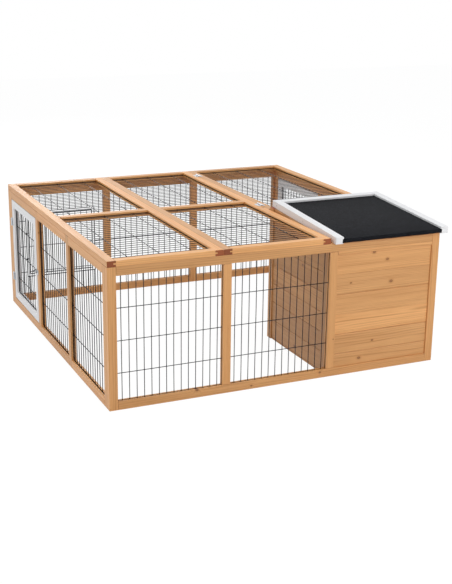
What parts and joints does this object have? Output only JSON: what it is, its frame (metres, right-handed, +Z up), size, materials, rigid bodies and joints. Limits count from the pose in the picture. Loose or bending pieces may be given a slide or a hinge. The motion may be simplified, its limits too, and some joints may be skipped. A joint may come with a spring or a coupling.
{
  "type": "outdoor rabbit run",
  "caption": "Low square outdoor rabbit run of grooved timber frames and wire net, with a hinged roof lid, side doors, a rear wire door and a planked house with a felt roof.",
  "frame": {"origin": "middle of the footprint of everything, on the ground", "axes": "+Z up, -Y towards the front wall with the house at its right end, +X to the right"},
  "size_m": [1.2892, 1.3036, 0.5421],
  "materials": {
    "bare_fir": "planed, clear",
    "white_painted_wood": "satin white paint",
    "roofing_felt": "mineral bitumen felt",
    "coated_wire": "dark glossy coating",
    "zinc_plated_steel": "bright zinc",
    "black_steel": "black"
  },
  "bodies": {
    "run": {"front_stile_left": "bare_fir", "front_stile_middle": "bare_fir", "front_stile_house": "bare_fir", "front_stile_right": "bare_fir", "front_rail_bottom": "bare_fir", "front_rail_top": "bare_fir", "front_net_left": "coated_wire", "front_net_middle": "coated_wire", "house_front_planks": "bare_fir", "left_wall_frame": "bare_fir", "left_net_middle": "coated_wire", "left_net_front": "coated_wire", "left_door_lower_hinge_fixed_leaf": "zinc_plated_steel", "left_door_upper_hinge_fixed_leaf": "zinc_plated_steel", "left_door_bolt_keeper": "zinc_plated_steel", "right_wall_frame": "bare_fir", "house_side_planks": "bare_fir", "right_net_middle": "coated_wire", "right_door_lower_hinge_fixed_leaf": "zinc_plated_steel", "right_door_upper_hinge_fixed_leaf": "zinc_plated_steel", "right_door_bolt_keeper": "zinc_plated_steel", "back_wall_frame": "bare_fir", "back_net_right": "coated_wire", "back_net_middle": "coated_wire", "back_net_door_bay": "coated_wire", "roof_frame_left": "bare_fir", "roof_net_left_front": "coated_wire", "roof_net_left_back": "coated_wire", "roof_frame_middle": "bare_fir", "roof_net_middle_front": "coated_wire", "roof_net_middle_back": "coated_wire", "lid_front_hinge_fixed_leaf": "zinc_plated_steel", "lid_back_hinge_fixed_leaf": "zinc_plated_steel", "house_partition": "bare_fir", "house_back_wall": "bare_fir", "house_roof_hinge_fixed_leaf": "zinc_plated_steel"},
    "left_door": {"left_door_frame": "white_painted_wood", "left_door_net": "coated_wire", "left_door_lower_hinge_moving_leaf": "zinc_plated_steel", "left_door_upper_hinge_moving_leaf": "zinc_plated_steel", "left_door_bolt_body": "zinc_plated_steel"},
    "left_bolt": {"left_door_bolt_slider": "black_steel"},
    "right_door": {"right_door_frame": "white_painted_wood", "right_door_net": "coated_wire", "right_door_lower_hinge_moving_leaf": "zinc_plated_steel", "right_door_upper_hinge_moving_leaf": "zinc_plated_steel", "right_door_bolt_body": "zinc_plated_steel"},
    "right_bolt": {"right_door_bolt_slider": "black_steel"},
    "lid": {"lid_frame": "bare_fir", "lid_net": "coated_wire", "lid_front_hinge_moving_leaf": "zinc_plated_steel", "lid_back_hinge_moving_leaf": "zinc_plated_steel"},
    "house_roof": {"house_roof_board": "bare_fir", "house_roof_felt": "roofing_felt", "house_roof_trim_left": "white_painted_wood", "house_roof_trim_right": "white_painted_wood", "house_roof_trim_back": "white_painted_wood", "house_roof_hinge_moving_leaf": "zinc_plated_steel"},
    "rear_door": {"rear_wire_door": "coated_wire"},
    "rear_latch": {"rear_door_latch": "coated_wire"}
  },
  "joints": [
    {"name": "left_door_hinge", "type": "hinge", "parent": "run", "child": "left_door", "pos_m": [-0.63365, 0.59999, 0.24335], "axis": [0, 0, -1], "range_deg": [0, 110]},
    {"name": "left_bolt_slide", "type": "slide", "parent": "left_door", "child": "left_bolt", "axis": [0, -1, 0], "range_m": [0, 0.007]},
    {"name": "right_door_hinge", "type": "hinge", "parent": "run", "child": "right_door", "pos_m": [0.62295, 0.59999, 0.24335], "axis": [0, 0, 1], "range_deg": [0, 110]},
    {"name": "right_bolt_slide", "type": "slide", "parent": "right_door", "child": "right_bolt", "axis": [0, -1, 0], "range_m": [0, 0.007]},
    {"name": "lid_hinge", "type": "hinge", "parent": "run", "child": "lid", "pos_m": [0.1735, 0.24779, 0.5103], "axis": [0, -1, 0], "range_deg": [0, 170]},
    {"name": "house_roof_hinge", "type": "hinge", "parent": "run", "child": "house_roof", "pos_m": [0.41515, -0.16092, 0.51787], "axis": [-1, 0, 0], "range_deg": [0, 95]},
    {"name": "rear_door_hinge", "type": "hinge", "parent": "run", "child": "rear_door", "pos_m": [-0.56435, 0.64179, 0.244], "axis": [0, 0, 1], "range_deg": [0, 110]},
    {"name": "rear_latch_hinge", "type": "hinge", "parent": "rear_door", "child": "rear_latch", "pos_m": [-0.27568, 0.64179, 0.2185], "axis": [0, 0, 1], "range_deg": [0, 100]}
  ]
}
